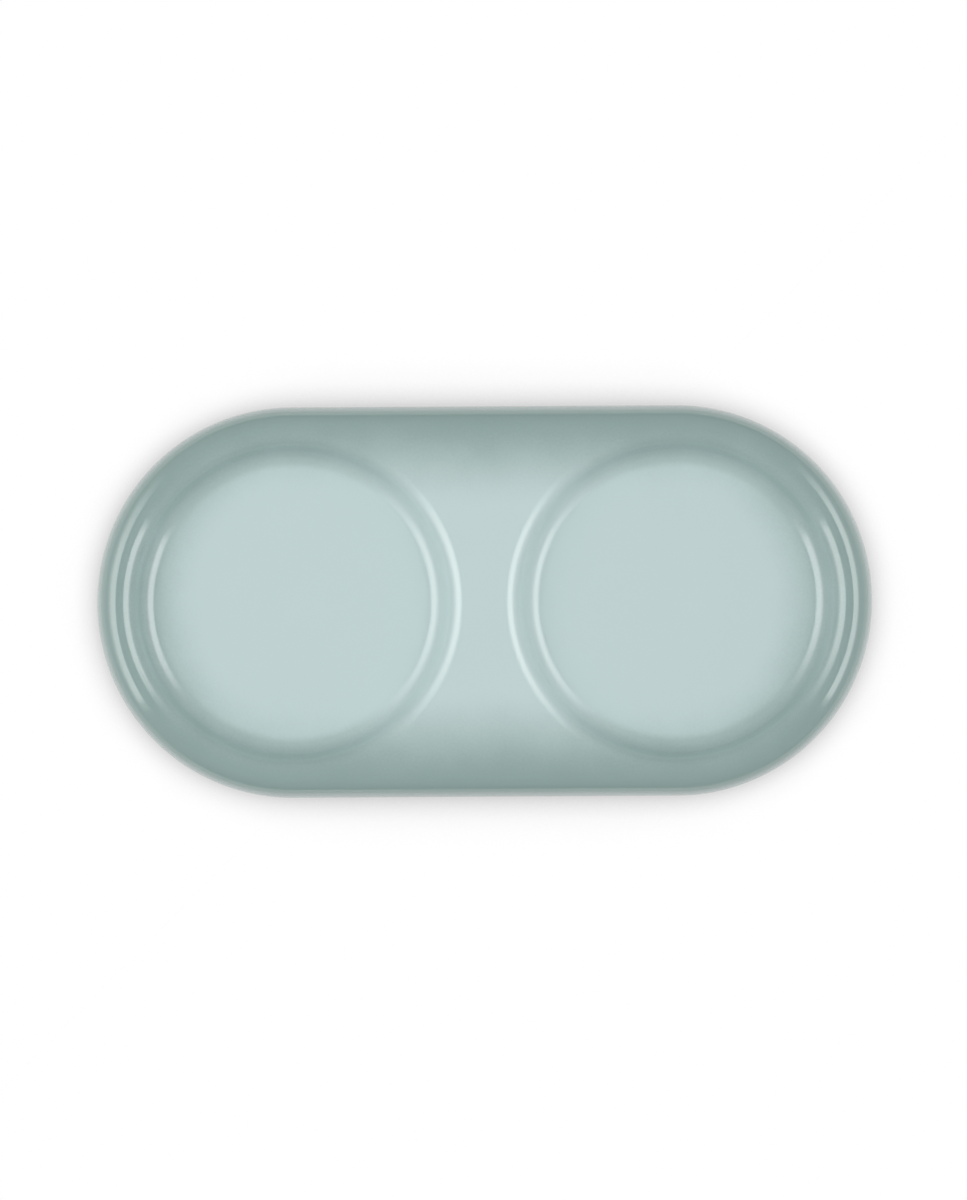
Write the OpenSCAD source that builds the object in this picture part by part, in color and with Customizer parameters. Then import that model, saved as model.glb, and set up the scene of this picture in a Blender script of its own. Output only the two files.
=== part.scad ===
// Tray for a pair of table mills, in glazed stoneware.
// One pressed and fired clay body carries two coats of glaze: the colour coat over its top,
// wells and sides, and a patch on its underside. The foot ring between the coats is bare.
// Millimetres. The origin is on the table under the tray's centre, +Z is up, and the
// two wells lie along X.

/* [Wells] */
// Diameter of the flat floor that a mill stands on
well_floor_d = 70; // [50:0.2:90]
// Depth of the well floor below the top of the rim
well_depth = 7.5; // [6:0.5:14]
// Steepest slope of the well wall, in degrees from the horizontal
wall_slope = 66; // [45:1:80]
// Radius of the rounded lip at the top of the well wall
lip_r = 4.3; // [2:0.1:8]
// Radius of the hollow curve where the well wall meets the floor
fillet_r = 4.4; // [2:0.1:8]
// Width of the flat land between the two wells
bridge_land = 10.6; // [4:0.2:40]

/* [Rim and sides] */
// Width of the flat land along the crest of the rim
rim_land = 0.8; // [0.2:0.1:10]
// Radius of the rounded shoulder at the outer edge of the rim
shoulder_r = 4.5; // [2:0.1:8]
// How far the shoulder turns down before the flatter side begins, in degrees
shoulder_turn = 71; // [60:1:80]
// Radius of the side, from the shoulder down to the tray's widest height
side_r = 18.8; // [10:0.2:30]

/* [Base] */
// Thickness of the well floor, glaze included
floor_t = 6.9; // [4:0.1:12]
// Height of the foot ring below the underside
foot_h = 1.6; // [0.8:0.1:4]
// Width of the foot ring
foot_w = 5; // [3:0.5:10]
// Flat shoulder of the underside, from the rounded base edge to the foot ring
foot_inset = 1.4; // [1:0.1:8]
// Chamfer along both bottom edges of the foot ring
foot_chamfer = 0.5; // [0.2:0.1:1]

/* [Glaze] */
// Thickness of the fired glaze
glaze_t = 0.35; // [0.2:0.05:0.8]
// Strip of bare clay left where the glaze is wiped back from the foot ring
glaze_setback = 0.7; // [0.3:0.1:0.9]

/* [Hidden] */

$fn = 96;
// Largest turn between two points of an arc, in degrees
arc_step = 6;
// How far a cutting shape reaches past the face that it opens
overcut = 2;

glaze_colour = [0.69, 0.78, 0.76];
base_glaze_colour = [0.75, 0.83, 0.82];
clay_colour = [0.87, 0.83, 0.75];

// Heights above the table
underside_z = foot_h;
well_floor_z = underside_z + floor_t;
tray_h = well_floor_z + well_depth;

// The well wall is two arcs with a straight stretch between them, tangent at both ends
wall_straight = (well_depth - (lip_r + fillet_r) * (1 - cos(wall_slope))) / sin(wall_slope);
well_floor_r = well_floor_d / 2;
lip_top_r = well_floor_r + (lip_r + fillet_r) * sin(wall_slope) + wall_straight * cos(wall_slope);

// Plan of the tray: two half rounds about the well centres, joined by straight sides
well_spacing = 2 * lip_top_r + bridge_land;

// Centres of the three arcs of the outer side, measured from the line through the wells.
// Each arc starts where the one above it ends, in the same direction.
shoulder_centre = [lip_top_r + rim_land, tray_h - shoulder_r];
side_centre = shoulder_centre - (side_r - shoulder_r) * [sin(shoulder_turn), cos(shoulder_turn)];
tray_half_w = side_centre.x + side_r;
base_edge_r = side_centre.y - underside_z;
base_edge_centre = [tray_half_w - base_edge_r, side_centre.y];

foot_outer = base_edge_centre.x - foot_inset;
foot_inner = foot_outer - foot_w;

// Points along an arc, from one angle to another, without the first ones to skip
function arc(centre, r, from, to, skip = 0) =
    let (steps = ceil(abs(to - from) / arc_step))
    [for (i = [skip:steps]) let (a = from + (to - from) * i / steps) centre + r * [cos(a), sin(a)]];

// Half section of the tray without its wells, drawn in from the glazed surface by inset
function slab_section(inset) = concat(
    [[0, underside_z + inset]],
    arc(base_edge_centre, base_edge_r - inset, -90, 0),
    arc(side_centre, side_r - inset, 0, 90 - shoulder_turn, 1),
    arc(shoulder_centre, shoulder_r - inset, 90 - shoulder_turn, 90, 1),
    [[0, tray_h - inset]]
);

// Half section of the space in one well, out to the surface that lies inset below the glaze
function well_section(inset) = concat(
    [[0, well_floor_z - inset]],
    arc([well_floor_r, well_floor_z + fillet_r], fillet_r + inset, -90, wall_slope - 90),
    arc([lip_top_r, tray_h - lip_r], lip_r - inset, 90 + wall_slope, 90),
    [[lip_top_r, tray_h + overcut], [0, tray_h + overcut]]
);

// Carries a half section, with X out from the line through the wells, round the tray's plan
module round_the_tray() {
    for (turn = [0, 180])
        rotate([0, 0, turn]) {
            translate([well_spacing / 2, 0, 0])
                rotate([0, 0, -90])
                    rotate_extrude(angle = 180) children();
            translate([-well_spacing / 2, 0, 0])
                rotate([90, 0, 90])
                    linear_extrude(well_spacing) children();
        }
}

// Places a copy on each well's axis
module at_each_well() {
    for (side = [-1, 1])
        translate([side * well_spacing / 2, 0, 0]) children();
}

// The tray above its foot, as it lies inset below the glazed surface
module tray_form(inset) {
    difference() {
        round_the_tray() polygon(slab_section(inset));
        at_each_well() rotate_extrude() polygon(well_section(inset));
    }
}

// A flat plate with the tray's plan, of the given half width, between two heights
module plan_plate(half_w, low, high) {
    round_the_tray() translate([0, low]) square([half_w, high - low]);
}

// The bare ring of clay that the tray stands on, with its bottom edges broken
module foot_ring() {
    top = underside_z + glaze_t;
    round_the_tray()
        polygon([
            [foot_inner, top],
            [foot_inner, foot_chamfer],
            [foot_inner + foot_chamfer, 0],
            [foot_outer - foot_chamfer, 0],
            [foot_outer, foot_chamfer],
            [foot_outer, top]
        ]);
}

// Pressed and fired clay: the tray under its glaze, in one piece with the foot ring
module stoneware_body() {
    color(clay_colour)
        union() {
            tray_form(glaze_t);
            foot_ring();
        }
}

// Colour coat over the wells, rim and sides, ending on the shoulder outside the foot ring
module colour_glaze() {
    color(glaze_colour)
        difference() {
            tray_form(0);
            tray_form(glaze_t);
            plan_plate(foot_outer + glaze_setback, underside_z - overcut, well_floor_z - floor_t / 2);
        }
}

// Coat on the underside, inside the foot ring
module base_glaze() {
    color(base_glaze_colour)
        plan_plate(foot_inner - glaze_setback, underside_z, underside_z + glaze_t);
}

stoneware_body();
colour_glaze();
base_glaze();
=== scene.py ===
# Tray for a pair of table mills, in glazed stoneware, seen from straight above on a white table.
# Metres, in the frame of the solids: the origin is on the table under the tray's centre,
# +Z is up, and the two wells lie along X.
import math
import bpy
from mathutils import Matrix, Vector


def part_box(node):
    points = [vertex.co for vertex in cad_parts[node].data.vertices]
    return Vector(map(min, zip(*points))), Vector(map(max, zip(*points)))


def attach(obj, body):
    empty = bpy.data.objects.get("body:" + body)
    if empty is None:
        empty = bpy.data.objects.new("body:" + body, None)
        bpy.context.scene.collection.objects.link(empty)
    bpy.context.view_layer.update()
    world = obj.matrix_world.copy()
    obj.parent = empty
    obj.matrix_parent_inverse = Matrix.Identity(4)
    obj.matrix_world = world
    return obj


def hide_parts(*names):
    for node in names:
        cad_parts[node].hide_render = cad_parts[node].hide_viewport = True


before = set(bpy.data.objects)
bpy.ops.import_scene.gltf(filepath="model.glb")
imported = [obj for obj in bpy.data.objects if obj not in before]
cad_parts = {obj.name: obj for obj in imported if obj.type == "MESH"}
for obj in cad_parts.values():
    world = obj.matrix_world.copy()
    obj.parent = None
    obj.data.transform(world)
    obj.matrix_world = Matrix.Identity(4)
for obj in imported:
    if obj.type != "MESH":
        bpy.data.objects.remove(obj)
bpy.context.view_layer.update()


# Stoneware body
# One lump of clay, pressed between two moulds and fired hard: a racetrack slab with two round
# wells in its top and a raised foot ring underneath. Only the foot ring stays free of glaze.

body_low, body_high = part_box("stoneware_body")
coat_low, coat_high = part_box("colour_glaze")
glaze_t = coat_high.z - body_high.z
well_x = body_high.x - body_high.y

# Sizes of the glazed surface; the clay lies one glaze thickness inside it
well_depth = 0.0075
well_floor_r = 0.035
wall_slope = math.radians(66)
lip_r = 0.0043
fillet_r = 0.0044
rim_land = 0.0008
shoulder_r = 0.0045
shoulder_turn = math.radians(71)
side_r = 0.0188
underside_z = coat_low.z
foot_inset = 0.0014
foot_w = 0.005
foot_round = 0.0005
glaze_setback = 0.0007

# The well's wall is a fillet, a straight stretch and a lip, each running smoothly into the next
wall_rise = well_depth - (lip_r + fillet_r) * (1 - math.cos(wall_slope))
wall_straight = wall_rise / math.sin(wall_slope)
wall_run = wall_straight * math.cos(wall_slope)
lip_top_r = well_floor_r + (lip_r + fillet_r) * math.sin(wall_slope) + wall_run

# The outer side is three arcs, with their centres measured from the line through the wells
shoulder_y = lip_top_r + rim_land
shoulder_z = coat_high.z - shoulder_r
side_y = shoulder_y - (side_r - shoulder_r) * math.sin(shoulder_turn)
side_z = shoulder_z - (side_r - shoulder_r) * math.cos(shoulder_turn)
base_r = side_z - underside_z
base_y = side_y + side_r - base_r
foot_outer = base_y - foot_inset
foot_inner = foot_outer - foot_w
clay_floor_z = body_high.z - well_depth
clay_under_z = underside_z + glaze_t

# How far the last ring of the floor lies from the fillet that follows it
guard = 0.0003
# Two points closer than this are the same point
tiny = 1e-6
quarter = math.radians(90)
smooth_angle = math.radians(40)

# Steps along each stretch of the section, and in plan along a quarter turn and half a side
flat_steps = 2
wall_steps = 4
bend_steps = 18
side_arc_steps = 10
base_arc_steps = 20
edge_steps = 5
turn_steps = 45
side_steps = 24


def start_point(name, place):
    bpy.ops.object.select_all(action="DESELECT")
    bpy.ops.mesh.primitive_plane_add(size=0.001, location=place)
    piece = bpy.context.object
    piece.name = name
    piece.data.name = name
    bpy.ops.object.transform_apply(location=True, rotation=False, scale=False)
    bpy.ops.object.mode_set(mode="EDIT")
    bpy.ops.mesh.select_mode(type="VERT")
    bpy.ops.mesh.select_all(action="SELECT")
    bpy.ops.mesh.merge(type="CENTER")
    return piece


def select_points(piece, wanted):
    bpy.ops.mesh.select_all(action="DESELECT")
    bpy.ops.object.mode_set(mode="OBJECT")
    for point in piece.data.vertices:
        point.select = wanted(point.co)
    bpy.ops.object.mode_set(mode="EDIT")
    bpy.ops.mesh.select_mode(type="VERT")


def line_to(y, z, steps=1):
    step = (Vector((well_x, y, z)) - pen) / steps
    for _ in range(steps):
        bpy.ops.mesh.extrude_vertices_move(TRANSFORM_OT_translate={"value": step})
    pen.yz = y, z


def arc_about(y, z, turn, steps):
    centre = Vector((well_x, y, z))
    bpy.ops.mesh.spin(steps=steps, angle=-turn, center=centre, axis=(1, 0, 0))
    pen.yz = (centre + Matrix.Rotation(turn, 3, "X") @ (pen - centre)).yz


# The section is drawn outwards from the well's axis, over the rim and back under the foot
pen = Vector((well_x, 0, clay_floor_z))
fired_body = start_point("fired_body", pen)
line_to(well_floor_r - guard, clay_floor_z, flat_steps)
line_to(well_floor_r, clay_floor_z)
arc_about(well_floor_r, clay_floor_z + fillet_r + glaze_t, wall_slope, bend_steps)
wall_end = pen.yz + wall_straight * Vector((math.cos(wall_slope), math.sin(wall_slope)))
line_to(wall_end.x, wall_end.y, wall_steps)
arc_about(lip_top_r, coat_high.z - lip_r, -wall_slope, bend_steps)
line_to(lip_top_r + rim_land, body_high.z)
arc_about(shoulder_y, shoulder_z, -shoulder_turn, bend_steps)
arc_about(side_y, side_z, shoulder_turn - quarter, side_arc_steps)
arc_about(base_y, side_z, -quarter, base_arc_steps)
line_to(foot_outer + glaze_setback, clay_under_z)
line_to(foot_outer, clay_under_z)
line_to(foot_outer, foot_round)
arc_about(foot_outer - foot_round, foot_round, -quarter, edge_steps)
line_to(foot_inner + foot_round, 0, flat_steps)
arc_about(foot_inner + foot_round, foot_round, -quarter, edge_steps)
line_to(foot_inner, clay_under_z)
line_to(foot_inner - glaze_setback, clay_under_z)
line_to(0, clay_under_z, flat_steps)

# A quarter of the tray: the end is turned about the well's axis, as is the well's own wall
# on the side of the bridge
plan_axis = Vector((0, 0, 1))
well_centre = Vector((well_x, 0, 0))
bpy.ops.mesh.select_all(action="SELECT")
bpy.ops.mesh.spin(steps=turn_steps, angle=quarter, center=well_centre, axis=plan_axis)


def on_section(co):
    return abs(co.x - well_x) < tiny and co.y > -tiny


def in_well(co):
    return on_section(co) and co.y < lip_top_r + tiny and co.z > clay_floor_z - tiny


def outside_well(co):
    return on_section(co) and (co.y > lip_top_r - tiny or co.z < clay_floor_z - tiny)


select_points(fired_body, in_well)
bpy.ops.mesh.spin(steps=turn_steps, angle=-quarter, center=well_centre, axis=plan_axis)

# The straight side is drawn out from the section to the middle of the tray
select_points(fired_body, outside_well)
for _ in range(side_steps):
    bpy.ops.mesh.extrude_edges_move(TRANSFORM_OT_translate={"value": (-well_x / side_steps, 0, 0)})


def on_bridge_lip(co):
    from_axis = (co.xy - well_centre.xy).length
    at_top = abs(co.z - body_high.z) < tiny
    return at_top and abs(from_axis - lip_top_r) < tiny and co.x < well_x + tiny


# The flat land of the bridge is drawn out from the well's lip to the middle of the tray
select_points(fired_body, on_bridge_lip)
for steps_left in range(side_steps, 0, -1):
    bpy.ops.mesh.extrude_edges_move()
    bpy.ops.transform.resize(value=((steps_left - 1) / steps_left, 1, 1), center_override=(0, 0, 0))

# Mirrored both ways, the quarter becomes the whole tray
bpy.ops.mesh.select_all(action="SELECT")
bpy.ops.mesh.remove_doubles(threshold=tiny)
bpy.ops.object.mode_set(mode="OBJECT")
both_ways = fired_body.modifiers.new("both_ways", "MIRROR")
both_ways.use_axis = (True, True, False)
both_ways.merge_threshold = tiny
bpy.ops.object.modifier_apply(modifier="both_ways")
bpy.ops.object.mode_set(mode="EDIT")
bpy.ops.mesh.select_all(action="SELECT")
bpy.ops.mesh.remove_doubles(threshold=tiny)
bpy.ops.mesh.normals_make_consistent(inside=False)
bpy.ops.object.mode_set(mode="OBJECT")
bpy.ops.object.shade_smooth_by_angle(angle=smooth_angle)


def new_material(name):
    material = bpy.data.materials.new(name)
    material.use_nodes = True
    tree = material.node_tree
    return material, tree, tree.nodes["Principled BSDF"]


def add_node(tree, kind, inputs=(), **settings):
    node = tree.nodes.new(kind)
    for name, value in settings.items():
        setattr(node, name, value)
    for key, value in dict(inputs).items():
        if isinstance(value, bpy.types.NodeSocket):
            tree.links.new(value, node.inputs[key])
        else:
            node.inputs[key].default_value = value
    return node


def work_out(tree, operation, *values):
    return add_node(tree, "ShaderNodeMath", enumerate(values), operation=operation).outputs[0]


def add_up(tree, *parts):
    total = parts[0]
    for part in parts[1:]:
        total = work_out(tree, "ADD", total, part)
    return total


def run_over(tree, value, start, end, first=0, last=1, **settings):
    # Goes from first to last as the value goes from start to end
    limits = {"Value": value, "From Min": start, "From Max": end, "To Min": first, "To Max": last}
    return add_node(tree, "ShaderNodeMapRange", limits, **settings).outputs[0]


def wander(tree, place, scale, amount, detail=3):
    # The middle half of the noise's range, where nearly all of it lies, becomes -amount to amount
    noise = add_node(tree, "ShaderNodeTexNoise", {"Vector": place, "Scale": scale, "Detail": detail})
    return run_over(tree, noise.outputs["Fac"], 0.25, 0.75, -amount, amount, clamp=False)


def blend_colours(tree, share, first, last):
    ramp = add_node(tree, "ShaderNodeValToRGB", {"Fac": share})
    ramp.color_ramp.elements[0].color = first
    ramp.color_ramp.elements[1].color = last
    return ramp.outputs["Color"]


def set_bump(tree, shader, *heights):
    # The heights are in metres
    bump = add_node(tree, "ShaderNodeBump", {"Height": add_up(tree, *heights), "Distance": 1})
    tree.links.new(bump.outputs["Normal"], shader.inputs["Normal"])


# Buff clay, dry to the touch, with fine grog and a few iron specks; the tread of the foot ring
# is rubbed grey by use. Scales are in features to the metre.
clay_dark = (0.52, 0.43, 0.31, 1)
clay_light = (0.73, 0.66, 0.53, 1)
grog_scale = 1400
grog_detail = 6
grog_height = 0.00002
press_scale = 160
press_height = 0.00004
speck_colour = (0.16, 0.10, 0.06, 1)
speck_scale = 420
speck_core = 0.10
speck_edge = 0.16
speck_strength = 0.7
tread_colour = (0.42, 0.39, 0.34, 1)
tread_height = 0.0002
tread_wear = 0.35
clay_roughness = 0.85
clay_rough_drift = 0.08
clay_rough_scale = 300
bare_clay, tree, shader = new_material("bare_clay")
place = add_node(tree, "ShaderNodeTexCoord").outputs["Object"]
grog = add_up(tree, wander(tree, place, grog_scale, 0.5, grog_detail), 0.5)
clay_colour = blend_colours(tree, grog, clay_dark, clay_light)
cells = add_node(tree, "ShaderNodeTexVoronoi", {"Vector": place, "Scale": speck_scale})
speck = run_over(tree, cells.outputs["Distance"], speck_core, speck_edge, speck_strength, 0)
specked = add_node(tree, "ShaderNodeMixRGB", {0: speck, 1: clay_colour, 2: speck_colour})
height = add_node(tree, "ShaderNodeSeparateXYZ", {"Vector": place}).outputs["Z"]
tread = run_over(tree, height, 0, tread_height, tread_wear, 0)
rubbed = add_node(tree, "ShaderNodeMixRGB", {0: tread, 1: specked.outputs["Color"], 2: tread_colour})
tree.links.new(rubbed.outputs["Color"], shader.inputs["Base Color"])
dryness = add_up(tree, clay_roughness, wander(tree, place, clay_rough_scale, clay_rough_drift))
tree.links.new(dryness, shader.inputs["Roughness"])
set_bump(
    tree,
    shader,
    wander(tree, place, grog_scale, grog_height, grog_detail),
    wander(tree, place, press_scale, press_height),
)
fired_body.data.materials.append(bare_clay)

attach(fired_body, "root")
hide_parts("stoneware_body")


# Colour glaze
# A coat of glass sprayed over the top, wells and sides and melted on in the kiln. The spray is
# aimed at the rim, so the colour is deep along the outline and pale over the middle.


def from_long_axis(co):
    return math.hypot(max(abs(co.x) - well_x, 0), co.y)


def in_foot_zone(co):
    return co.z < clay_under_z + tiny and from_long_axis(co) < foot_outer + glaze_setback - tiny


def coat_on_body(name, bare):
    # A copy of the clay's surface, without its bare places, thickened outwards into a coat
    bpy.ops.object.select_all(action="DESELECT")
    fired_body.select_set(True)
    bpy.context.view_layer.objects.active = fired_body
    bpy.ops.object.duplicate()
    piece = bpy.context.object
    piece.name = name
    piece.data.name = name
    bpy.ops.object.mode_set(mode="EDIT")
    select_points(piece, bare)
    bpy.ops.mesh.delete(type="VERT")
    bpy.ops.object.mode_set(mode="OBJECT")
    coat = piece.modifiers.new("coat", "SOLIDIFY")
    coat.thickness = glaze_t
    coat.offset = 1
    coat.use_even_offset = True
    coat.use_quality_normals = True
    bpy.ops.object.modifier_apply(modifier="coat")
    bpy.ops.object.shade_smooth_by_angle(angle=smooth_angle)
    piece.data.materials.clear()
    return piece


glaze_coat = coat_on_body("glaze_coat", in_foot_zone)

# The colour runs from pale to deep between two distances from the line that joins the wells'
# centres, shifted a little towards the back
pale_colour = (0.595, 0.743, 0.737, 1)
deep_colour = (0.288, 0.405, 0.383, 1)
spray_start = 0.023
spray_end = 0.0484
spray_shift = 0.0007
# The well floors get less of the spray, as if they lay nearer to that line
spray_floor_share = 0.86
spray_edge = 0.0012
spray_drift = 0.0012
spray_drift_scale = 85
spray_grain = 0.0009
spray_grain_scale = 1500
pale_roughness = 0.23
deep_roughness = 0.05
gloss_drift = 0.02
gloss_scale = 60
peel_height = 0.000006
peel_scale = 240
glaze_ior = 1.84
shaded_glaze, tree, shader = new_material("shaded_glaze")
place = add_node(tree, "ShaderNodeTexCoord").outputs["Object"]
axes = add_node(tree, "ShaderNodeSeparateXYZ", {"Vector": place}).outputs
past_well = work_out(tree, "SUBTRACT", work_out(tree, "ABSOLUTE", axes["X"]), well_x)
well_plan = add_node(tree, "ShaderNodeCombineXYZ", {"X": past_well, "Y": axes["Y"]})
from_well = add_node(tree, "ShaderNodeVectorMath", {0: well_plan.outputs[0]}, operation="LENGTH")
spared = run_over(
    tree,
    from_well.outputs["Value"],
    well_floor_r - spray_edge,
    well_floor_r + spray_edge,
    spray_floor_share,
    1,
    interpolation_type="SMOOTHSTEP",
)
across = work_out(tree, "MULTIPLY", work_out(tree, "SUBTRACT", axes["Y"], spray_shift), spared)
end_part = work_out(tree, "MAXIMUM", past_well, 0)
outwards = add_node(tree, "ShaderNodeCombineXYZ", {"X": end_part, "Y": across})
from_axis = add_node(tree, "ShaderNodeVectorMath", {0: outwards.outputs[0]}, operation="LENGTH")
uneven = add_up(
    tree,
    from_axis.outputs["Value"],
    wander(tree, place, spray_drift_scale, spray_drift),
    wander(tree, place, spray_grain_scale, spray_grain),
)
spray = run_over(tree, uneven, spray_start, spray_end, interpolation_type="SMOOTHSTEP")
tree.links.new(blend_colours(tree, spray, pale_colour, deep_colour), shader.inputs["Base Color"])
gloss = add_up(
    tree,
    run_over(tree, spray, 0, 1, pale_roughness, deep_roughness),
    wander(tree, place, gloss_scale, gloss_drift),
)
tree.links.new(gloss, shader.inputs["Roughness"])
set_bump(tree, shader, wander(tree, place, peel_scale, peel_height))
shader.inputs["IOR"].default_value = glaze_ior
glaze_coat.data.materials.append(shaded_glaze)

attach(glaze_coat, "root")
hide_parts("colour_glaze")


# Underside glaze
# A thin even coat of the pale glaze, poured inside the foot ring and wiped back from it, so
# that the ring doesn't stick to the kiln shelf.


def outside_pour(co):
    off_underside = abs(co.z - clay_under_z) > tiny
    return off_underside or from_long_axis(co) > foot_inner - glaze_setback + tiny


underside_glaze = coat_on_body("underside_glaze", outside_pour)

thin_colour = (0.560, 0.690, 0.670, 1)
thick_colour = (0.610, 0.755, 0.742, 1)
cover_scale = 45
cover_detail = 5
poured_roughness = 0.2
poured_gloss_drift = 0.04
poured_peel_height = 0.000012
pool_scale = 30
pool_height = 0.00003
plain_glaze, tree, shader = new_material("plain_glaze")
place = add_node(tree, "ShaderNodeTexCoord").outputs["Object"]
cover = add_up(tree, wander(tree, place, cover_scale, 0.5, cover_detail), 0.5)
tree.links.new(blend_colours(tree, cover, thin_colour, thick_colour), shader.inputs["Base Color"])
gloss = add_up(tree, poured_roughness, wander(tree, place, gloss_scale, poured_gloss_drift))
tree.links.new(gloss, shader.inputs["Roughness"])
set_bump(
    tree,
    shader,
    wander(tree, place, peel_scale, poured_peel_height),
    wander(tree, place, pool_scale, pool_height),
)
shader.inputs["IOR"].default_value = glaze_ior
underside_glaze.data.materials.append(plain_glaze)

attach(underside_glaze, "root")
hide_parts("base_glaze")


# Table
# A plain white table top. To the eye and in the glaze it glows white, with a painted soft shadow
# round the tray, and it lights the tray from below as a white table does.
table_colour = (0.9, 0.9, 0.9, 1)
table_size = 12
# The painted shadow dims the glow where the tray hides part of the sky within this reach
shadow_reach = 0.1
table_white = 1.3
bpy.ops.object.select_all(action="DESELECT")
bpy.ops.mesh.primitive_plane_add(size=table_size, location=(0, 0, 0))
table = bpy.context.object
table.name = "table"
white_top_with_painted_shadow, tree, shader = new_material("white_top_with_painted_shadow")
tree.nodes.remove(shader)
ray = add_node(tree, "ShaderNodeLightPath").outputs
seen = work_out(tree, "MAXIMUM", ray["Is Camera Ray"], ray["Is Glossy Ray"])
seen = work_out(tree, "MAXIMUM", seen, ray["Is Transmission Ray"])
# Painted shadow: the white glow is dimmed where the tray hides the sky, not by the lamps
open_sky = add_node(tree, "ShaderNodeAmbientOcclusion", {"Distance": shadow_reach}).outputs["AO"]
white_under_painted_shadow = work_out(tree, "MINIMUM", work_out(tree, "MULTIPLY", open_sky, table_white), 1)
white = add_node(tree, "ShaderNodeEmission", {"Strength": white_under_painted_shadow})
lit = add_node(tree, "ShaderNodeBsdfDiffuse", {"Color": table_colour})
top = add_node(tree, "ShaderNodeMixShader", {0: seen, 1: lit.outputs[0], 2: white.outputs[0]})
tree.links.new(top.outputs[0], tree.nodes["Material Output"].inputs["Surface"])
table.data.materials.append(white_top_with_painted_shadow)


# Light
# Two tall soft boxes stand upright left and right of the tray in a dim room that is brighter
# at its sides. The boxes fade out at their edges, most of all towards the back of the table.
room_top = 0.27
room_high = 0.3
room_low = 0.3
room_horizon = 0.14
room_sides = 0.48
# Heights of the two levels between the horizon and the top, as the sine of the angle
low_sine = 0.35
high_sine = 0.75
room = bpy.data.worlds.new("room")
bpy.context.scene.world = room
room.use_nodes = True
tree = room.node_tree
background = tree.nodes["Background"].inputs
sky_place = add_node(tree, "ShaderNodeTexCoord").outputs["Generated"]
sky = add_node(tree, "ShaderNodeSeparateXYZ", {"Vector": sky_place}).outputs
sky_level = add_node(tree, "ShaderNodeValToRGB", {"Fac": sky["Z"]})
sky_stops = sky_level.color_ramp.elements
sky_stops[0].color = (room_horizon, room_horizon, room_horizon, 1)
sky_stops[1].color = (room_top, room_top, room_top, 1)
sky_stops.new(low_sine).color = (room_low, room_low, room_low, 1)
sky_stops.new(high_sine).color = (room_high, room_high, room_high, 1)
sideways = work_out(tree, "MULTIPLY", sky["X"], sky["X"])
room_level = work_out(tree, "MULTIPLY_ADD", sideways, room_sides, sky_level.outputs["Color"])
background["Color"].default_value = (1, 1, 1, 1)
tree.links.new(room_level, background["Strength"])

panel_x = 0.42


def light_panel(name, x, front, back, low, high, level, low_fade, high_fade, front_fade, back_fade):
    # An upright panel that faces the tray; each fade is a share of the panel's height or length
    lamp = bpy.data.lights.new(name, "AREA")
    lamp.shape = "RECTANGLE"
    lamp.size = high - low
    lamp.size_y = back - front
    lamp.energy = math.pi * lamp.size * lamp.size_y
    lamp.use_nodes = True
    tree = lamp.node_tree
    spot = add_node(tree, "ShaderNodeNewGeometry").outputs["Parametric"]
    along = add_node(tree, "ShaderNodeSeparateXYZ", {"Vector": spot}).outputs
    to_back = -math.copysign(1, x)
    front_end = 0.5 - 0.5 * to_back
    back_end = 0.5 + 0.5 * to_back
    strength = level
    for spot_along, dark, bright in (
        (along["X"], 0, low_fade),
        (along["X"], 1, 1 - high_fade),
        (along["Y"], front_end, front_end + to_back * front_fade),
        (along["Y"], back_end, back_end - to_back * back_fade),
    ):
        strength = run_over(
            tree, spot_along, dark, bright, 0, strength, interpolation_type="SMOOTHSTEP"
        )
    tree.links.new(strength, tree.nodes["Emission"].inputs["Strength"])
    panel = bpy.data.objects.new(name, lamp)
    bpy.context.collection.objects.link(panel)
    along_x = Vector((0, 0, 1))
    along_z = Vector((math.copysign(1, x), 0, 0))
    turned = Matrix((along_x, along_z.cross(along_x), along_z)).transposed().to_4x4()
    middle = Vector((x, (front + back) / 2, (low + high) / 2))
    panel.matrix_world = Matrix.Translation(middle) @ turned


light_panel(
    "left_panel",
    x=-panel_x,
    front=-0.285,
    back=0.41,
    low=0.106,
    high=1.59,
    level=2.32,
    low_fade=0.22,
    high_fade=0.24,
    front_fade=0.11,
    back_fade=0.53,
)
light_panel(
    "right_panel",
    x=panel_x,
    front=-0.28,
    back=0.44,
    low=0.233,
    high=1.82,
    level=2.46,
    low_fade=0.15,
    high_fade=0.19,
    front_fade=0.09,
    back_fade=0.41,
)


# Camera
# Straight above the tray and far away, so that hardly any perspective shows. It is turned a
# little, and its aim is a little off the middle of the tray.
camera_height = 8
frame_h = 0.3076
aim_x = -0.0003
aim_y = 0.0004
camera_roll = math.radians(-0.33)
camera_data = bpy.data.cameras.new("camera")
camera_data.sensor_fit = "VERTICAL"
camera_data.sensor_height = 36
camera_data.lens = camera_data.sensor_height * (camera_height - side_z) / frame_h
camera_data.clip_end = 50
camera = bpy.data.objects.new("camera", camera_data)
camera.location = (aim_x, aim_y, camera_height)
camera.rotation_euler = (0, 0, camera_roll)
bpy.context.collection.objects.link(camera)
bpy.context.scene.camera = camera
bpy.context.scene.view_settings.view_transform = "Standard"
